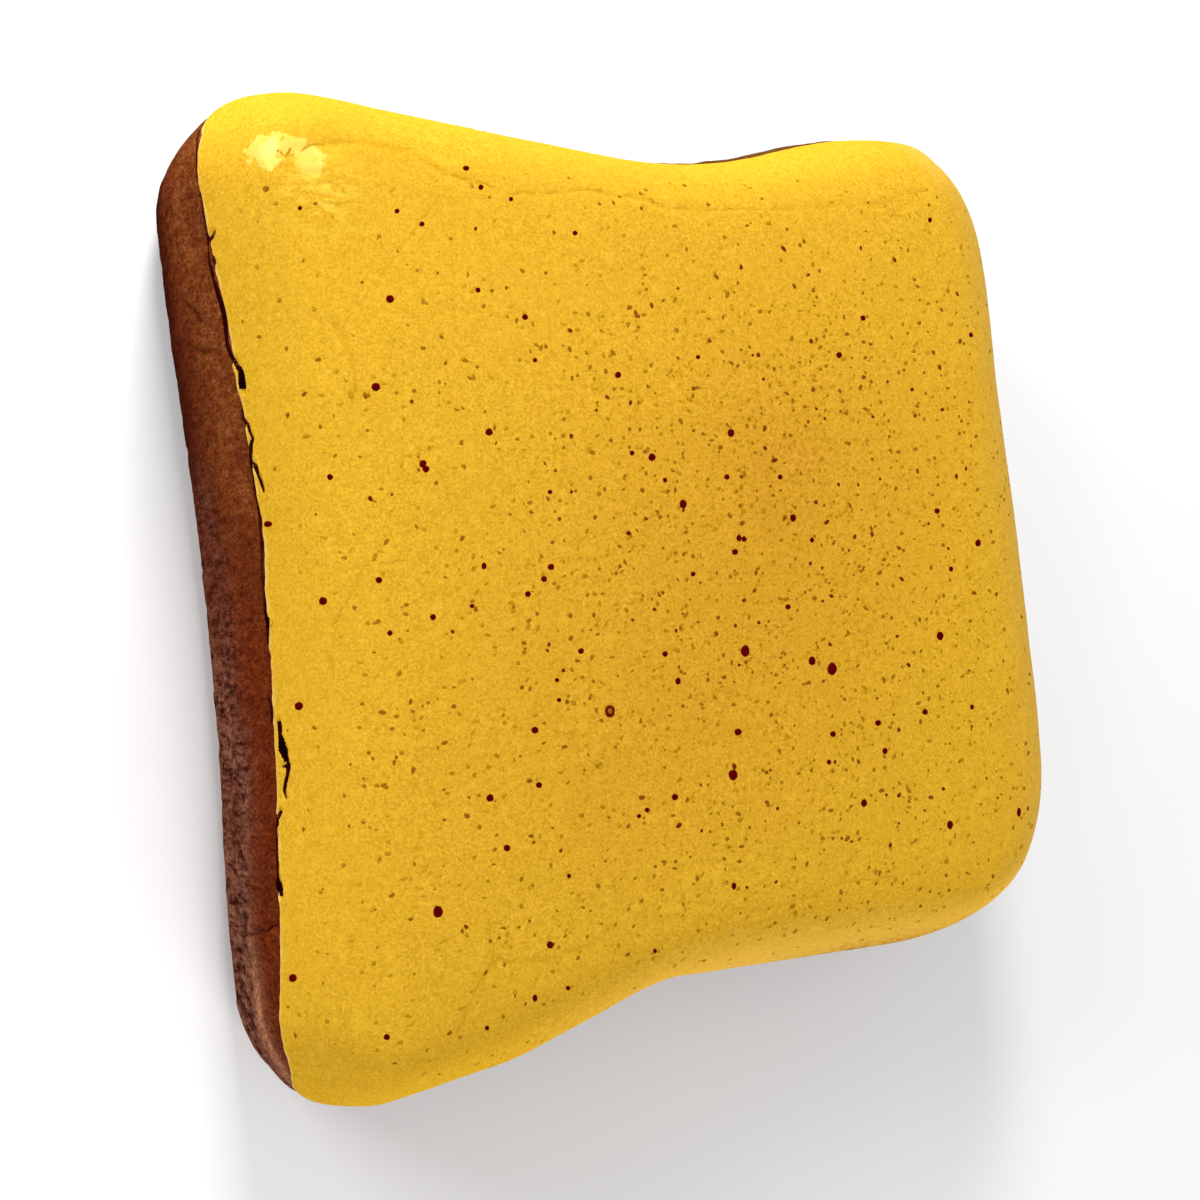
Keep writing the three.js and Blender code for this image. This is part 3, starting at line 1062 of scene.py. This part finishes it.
def patch_at(places, centre, reach):
    away = np.hypot(*(places[:, :2] - centre).T)
    return np.exp(-(away / reach) ** 2)


def tear_lines(surface):
    """The tears as places on a surface, each with its half width in mm."""
    return [[(entry[0], entry[4] / 2 / PIXELS_PER_MM) for entry in drawn_line(surface, entries, 0.12)]
            for entries in TEARS]


def store_cheese_marks(cheese, above_seam):
    """What the yellow skin's colours read at each vertex."""
    places = coordinates(cheese, len(above_seam))
    sideways, upwards, _ = places.T
    hazes = [strength * patch_at(places, centre, reach) for centre, reach, strength in HAZES]
    # Painted sheen: the skin is painted paler over the edge of the right side, and low down on the bottom
    # side
    at_right = way(sideways, 30, 38) * way(above_seam, 9.3, 6.9)
    at_bottom = way(upwards, -10, -35) * way(sideways, -25, -5) * np.sqrt(way(above_seam, 8.5, 0))
    # It is brown above the seam on the right half of the bottom side
    browned = way(sideways, 4, 18) * way(sideways, 39, 32) * (upwards < -20) * way(above_seam, 6, 0)
    store(cheese, "above_seam", above_seam)
    store(cheese, "haze", sum(hazes))
    store(cheese, "rim_sheen", np.maximum(0.42 * at_right, 0.3 * at_bottom))
    store(cheese, "browned_rim", 0.85 * browned)
    store(cheese, "gloss_and_highlight", np.maximum.reduce([patch_at(places, *gloss_and_highlight) for gloss_and_highlight in GLOSS_AND_HIGHLIGHTS]))
    store(cheese, "crumple_and_glints", patch_at(places, *CRUMPLE_AND_GLINTS))


def store_bread_marks(bread, below_seam):
    """What the brown skin's colours read at each vertex."""
    places = coordinates(bread, len(below_seam))
    sideways, upwards, _ = places.T
    at_left = way(sideways, -32, -40)
    rise = GREY_RISE * at_left * way(upwards, -30, -48) ** 1.5 - 2.2 * way(upwards, -12, 2)
    off_streak = (below_seam + rise - STREAK_HEIGHT) / STREAK_WIDTH
    store(bread, "below_seam", below_seam + rise + 0.5 * waves(places, 2.5, 41, 3))
    store(bread, "highlight_streak", at_left * way(upwards, -28, -36) * np.exp(-off_streak ** 2))
    store(bread, "low_down", way(upwards, 17, -19))
    # Painted shade where the side rolls under, high on the left
    store(bread, "rolled_under_shade", 0.8 * way(below_seam, 9.5, 13.5) * way(upwards, 8, 16))
    store(bread, "top_side_shade", way(upwards - 0.9 * np.abs(sideways), 0, 12))


def build_toy():
    upper, above_seam = cheese_points()
    lower, below_seam = bread_points()
    cheese = closed_mesh("cheese_layer", upper, CHEESE_CELLS, True)
    bread = closed_mesh("bread_body", lower, BREAD_CELLS, False)
    store(cheese, "crease", shape_cheese(cheese, above_seam))
    wrinkled, pitted = shape_bread(bread, below_seam)
    store(bread, "wrinkle_shade", wrinkled)
    store(bread, "pit_shade", pitted)
    lines = tear_lines(surface_of(cheese, bread))
    store(cheese, "tear_shade", tear_open(cheese, lines, len(above_seam)))
    store(bread, "tear_shade", tear_open(bread, lines, len(below_seam)))
    store_cheese_marks(cheese, above_seam)
    store_bread_marks(bread, below_seam)
    surface = surface_of(cheese, bread)
    skin = surface_of(cheese)
    drops = drops_piece(skin)
    ring = ring_drop_piece(skin)
    specks = faint_specks_piece(skin)
    tears = tears_piece("seam_tears", surface, TEARS, 74)
    cracks = tears_piece("bread_cracks", surface, BREAD_CRACKS, 75)
    creases = crease_lines_piece(skin)
    coats = [
        (cheese_coat(), [cheese]),
        (bread_coat(), [bread]),
        (drop_coat(), [drops, ring]),
        (speck_coat(), [specks]),
        (tear_coat(), [tears, cracks]),
        (crease_shade_coat(), [creases]),
    ]
    for material, pieces in coats:
        for made in pieces:
            made.data.materials.append(material)
    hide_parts("cheese")
    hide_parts("bread")
    for made in (cheese, bread, drops, ring, specks, tears, cracks, creases):
        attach(made, "root")


# ------------------------
# Floor, light and camera

FLOOR_HALF = 3000
# Lights: place, point aimed at, side of the square and power of each
LIGHTS = {
    "key": ((-25, 257, 160), (-20, 15, 20), 70, 0.74),
    "side": ((-263, 213, 171), (-38, 38, 26), 150, 0.62),
    "fill": ((120, -510, 200), (0, 0, 0), 320, 1.72),
}
WORLD_STRENGTH = 0.48


def add_floor():
    half = FLOOR_HALF * MM
    corners = [(-half, -half, 0), (half, -half, 0), (half, half, 0), (-half, half, 0)]
    floor = new_mesh_object("floor", corners, [(0, 1, 2, 3)], smooth=False)
    floor.data.materials.append(floor_coat())


def add_area_light(name, place, aim, size, power):
    light = bpy.data.lights.new(name, "AREA")
    light.shape = "SQUARE"
    light.size = size * MM
    light.energy = power
    lamp = new_object(name, light)
    lamp.location = Vector(place) * MM
    lamp.rotation_euler = (Vector(place) - Vector(aim)).to_track_quat("Z", "Y").to_euler()


def add_world():
    world = bpy.data.worlds.new("studio")
    world.use_nodes = True
    background = world.node_tree.nodes["Background"]
    background.inputs["Color"].default_value = (1, 1, 1, 1)
    background.inputs["Strength"].default_value = WORLD_STRENGTH
    bpy.context.scene.world = world


def add_camera():
    data = bpy.data.cameras.new("camera")
    data.sensor_fit = "HORIZONTAL"
    data.sensor_width = SENSOR_WIDTH
    data.lens = FOCAL_PIXELS / PHOTO_SIDE * SENSOR_WIDTH
    data.clip_start = 0.01
    camera = new_object("camera", data)
    camera.matrix_world = TOY_FROM_CAMERA
    bpy.context.scene.camera = camera


build_toy()
add_floor()
for name, settings in LIGHTS.items():
    add_area_light(name, *settings)
add_world()
add_camera()
bpy.context.scene.view_settings.view_transform = "Standard"
